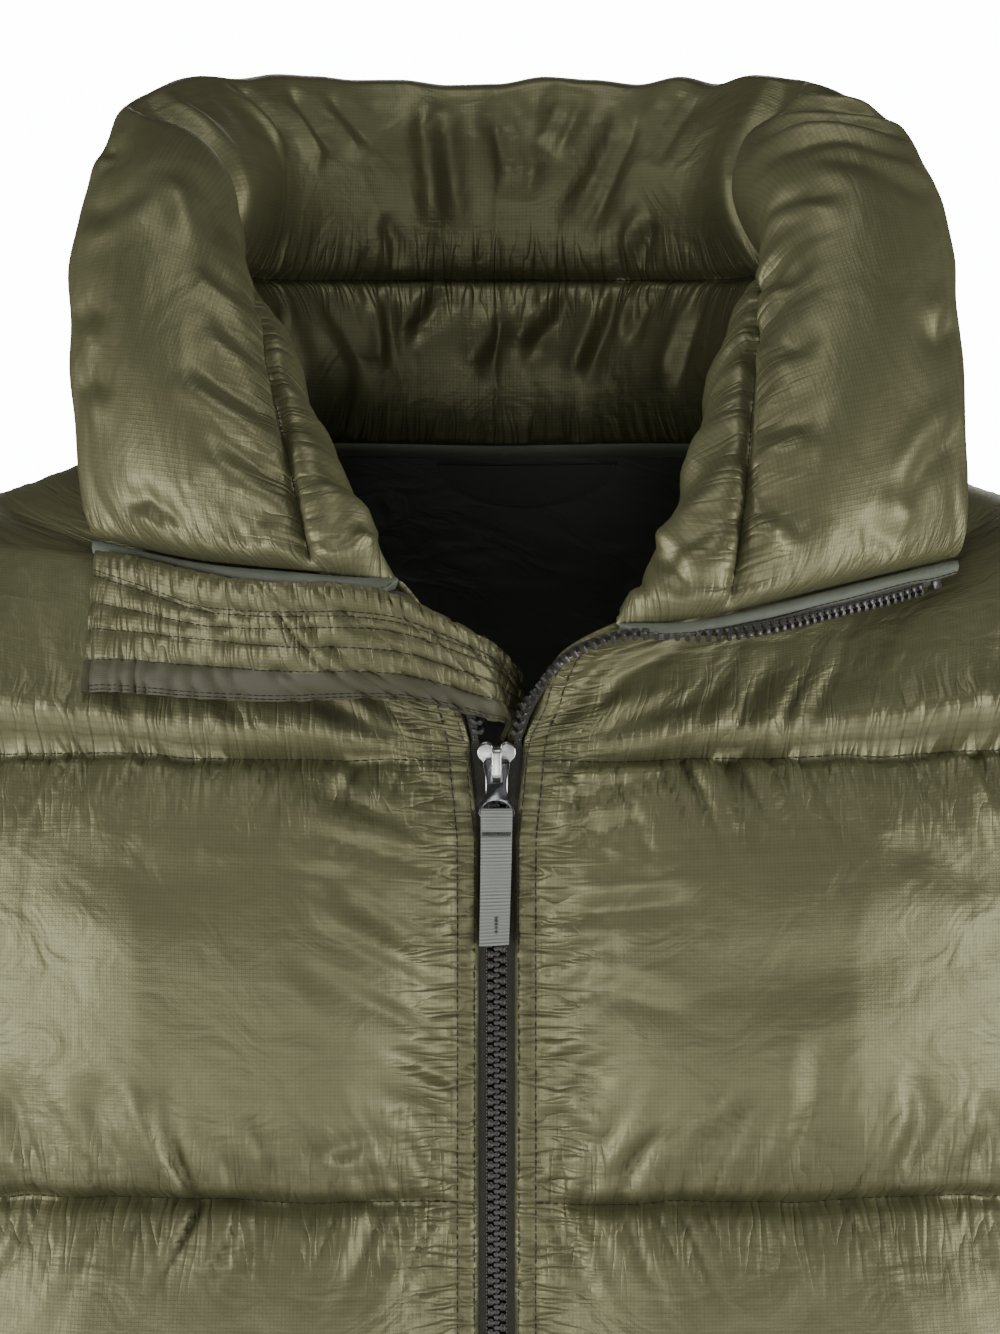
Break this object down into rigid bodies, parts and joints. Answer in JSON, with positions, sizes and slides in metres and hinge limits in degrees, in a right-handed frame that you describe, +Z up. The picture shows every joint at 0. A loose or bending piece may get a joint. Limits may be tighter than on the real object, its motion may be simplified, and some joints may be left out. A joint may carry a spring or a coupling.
{
  "type": "down jacket",
  "caption": "Quilted down jacket, filled out as if worn, with a folded-open stand collar, a front zip and a storm flap behind it.",
  "frame": {"origin": "midway between the high points of the shoulders, beside the neck, where the wearer holds the jacket up", "axes": "+Z up, +X towards the wearer's left, -Y forwards"},
  "size_m": [0.9232, 0.2879, 0.81],
  "materials": {
    "shell_ripstop": "olive ripstop nylon, satin",
    "lining": "dark grey-green plain nylon, satin",
    "patch": "dark woven patch, plain",
    "binding": "grey-green woven tape, matt",
    "zip_tape": "brown-grey herringbone tape, matt",
    "zip_teeth": "moulded acetal, satin",
    "slider_metal": "dark nickel, polished",
    "ribbon": "light grey grosgrain, matt"
  },
  "bodies": {
    "root": {"front_left": "shell_ripstop", "front_right": "shell_ripstop", "back": "shell_ripstop", "sleeve_left": "shell_ripstop", "sleeve_right": "shell_ripstop", "collar": "shell_ripstop", "storm_flap": "shell_ripstop", "collar_binding_left": "binding", "collar_binding_right": "binding", "neck_binding": "binding", "lining_back": "lining", "neck_patch": "patch", "zip_tape_left": "zip_tape", "zip_tape_right": "zip_tape", "zip_chain_closed": "zip_teeth", "zip_chain_left": "zip_teeth", "zip_chain_right": "zip_teeth", "zip_stop_left": "zip_teeth", "zip_stop_right": "zip_teeth", "zip_bottom_box": "zip_teeth", "slider_body": "slider_metal", "slider_bridge": "slider_metal"},
    "zip_pull": {"puller": "slider_metal", "pull_ribbon": "ribbon"}
  },
  "joints": [
    {"name": "zip_pull_hinge", "type": "hinge", "parent": "root", "child": "zip_pull", "pos_m": [0, -0.1242, -0.0904], "axis": [-1, 0, 0], "range_deg": [0, 130]}
  ]
}
